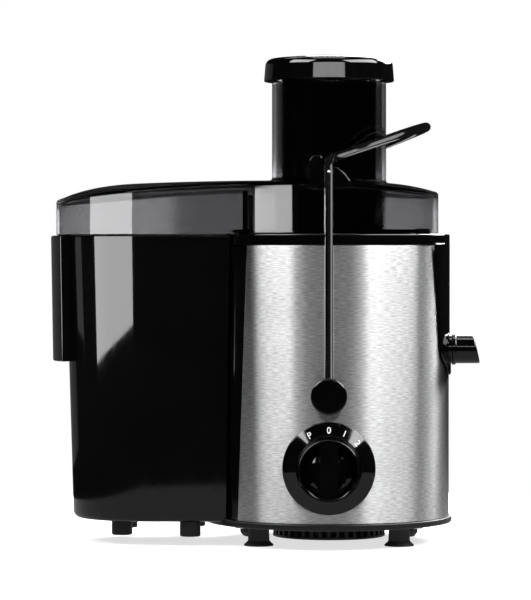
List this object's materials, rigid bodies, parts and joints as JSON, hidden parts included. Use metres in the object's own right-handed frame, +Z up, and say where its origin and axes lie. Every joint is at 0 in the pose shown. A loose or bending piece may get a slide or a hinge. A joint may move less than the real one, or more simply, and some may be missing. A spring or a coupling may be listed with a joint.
{
  "type": "centrifugal juicer",
  "caption": "Centrifugal juicer: brushed-steel motor base, juice bowl with spout, smoke lid with feed chute and pusher, wire bail lock and side pulp container.",
  "frame": {"origin": "middle of the footprint on the surface that the feet stand on", "axes": "+Z up, -Y towards the dial and the user, -X towards the pulp container, +X towards the juice spout"},
  "size_m": [0.283, 0.192, 0.3196],
  "materials": {
    "gloss_black": "moulded black plastic with a high gloss",
    "matte_black": "moulded black plastic, fine matt grain",
    "smoke_plastic": "clear plastic with a dark smoke tint, polished",
    "wrap_steel": "stainless steel sheet brushed round the base",
    "basket_steel": "stainless steel, etched mesh and pressed grater",
    "bright_chrome": "polished chrome plate on steel",
    "core_steel": "laminated motor steel",
    "winding_copper": "enamelled copper",
    "foot_rubber": "soft black rubber",
    "inner_plastic": "natural ivory nylon"
  },
  "bodies": {
    "base": {"motor_housing": "gloss_black", "steel_wrap": "wrap_steel", "base_plate": "matte_black", "vent_ring": "matte_black", "front_foot_left": "foot_rubber", "front_foot_right": "foot_rubber", "rear_foot_left": "foot_rubber", "rear_foot_right": "foot_rubber", "base_screw_1": "bright_chrome", "base_screw_2": "bright_chrome", "base_screw_3": "bright_chrome", "base_screw_4": "bright_chrome", "cord_inlet": "matte_black", "stator_core": "core_steel", "field_coil_left": "winding_copper", "field_coil_right": "winding_copper", "lower_bracket": "core_steel", "upper_bracket": "core_steel", "lower_bearing": "bright_chrome", "upper_bearing": "bright_chrome", "brush_holder_left": "inner_plastic", "brush_holder_right": "inner_plastic", "shaft_seal": "foot_rubber", "rotary_switch": "inner_plastic", "interlock_switch": "inner_plastic", "dial_bezel": "gloss_black", "juice_bowl": "gloss_black", "juice_spout": "gloss_black", "pivot_bushing_front": "inner_plastic", "pivot_bushing_rear": "inner_plastic"},
    "rotor": {"motor_shaft": "bright_chrome", "cooling_fan": "matte_black", "commutator": "winding_copper", "armature": "core_steel", "drive_coupling": "matte_black", "grater_disc": "basket_steel", "filter_mesh": "basket_steel", "basket_rim": "gloss_black"},
    "dial": {"dial_knob": "gloss_black", "switch_shaft": "inner_plastic"},
    "bail": {"bail_wire": "bright_chrome", "pivot_cap_front": "gloss_black", "pivot_cap_rear": "gloss_black", "retaining_clip_front": "bright_chrome", "retaining_clip_rear": "bright_chrome"},
    "lid": {"lid_cover": "smoke_plastic"},
    "pusher": {"pusher_body": "gloss_black", "pusher_cap": "gloss_black"},
    "container": {"pulp_container": "gloss_black", "container_foot_1": "matte_black", "container_foot_2": "matte_black", "container_foot_3": "matte_black", "container_foot_4": "matte_black"}
  },
  "joints": [
    {"name": "motor_spin", "type": "hinge", "parent": "base", "child": "rotor", "pos_m": [0.042, 0.004, 0], "axis": [0, 0, 1], "continuous": true},
    {"name": "dial_turn", "type": "hinge", "parent": "base", "child": "dial", "pos_m": [0.042, -0.086, 0.0528], "axis": [0, 1, 0], "range_deg": [-30, 48]},
    {"name": "bail_swing", "type": "hinge", "parent": "base", "child": "bail", "pos_m": [0.042, 0.004, 0.099], "axis": [0, 1, 0], "range_deg": [0, 95]},
    {"name": "lid_lift", "type": "slide", "parent": "base", "child": "lid", "axis": [0, 0, 1], "range_m": [0, 0.06]},
    {"name": "pusher_slide", "type": "slide", "parent": "lid", "child": "pusher", "axis": [0, 0, 1], "range_m": [0, 0.13]},
    {"name": "container_slide", "type": "slide", "parent": "base", "child": "container", "axis": [-1, 0, 0], "range_m": [0, 0.12]}
  ],
  "couplings": [
    {"joint": "lid_lift", "follows": "bail_swing", "m_per_rad": 0.0361}
  ]
}
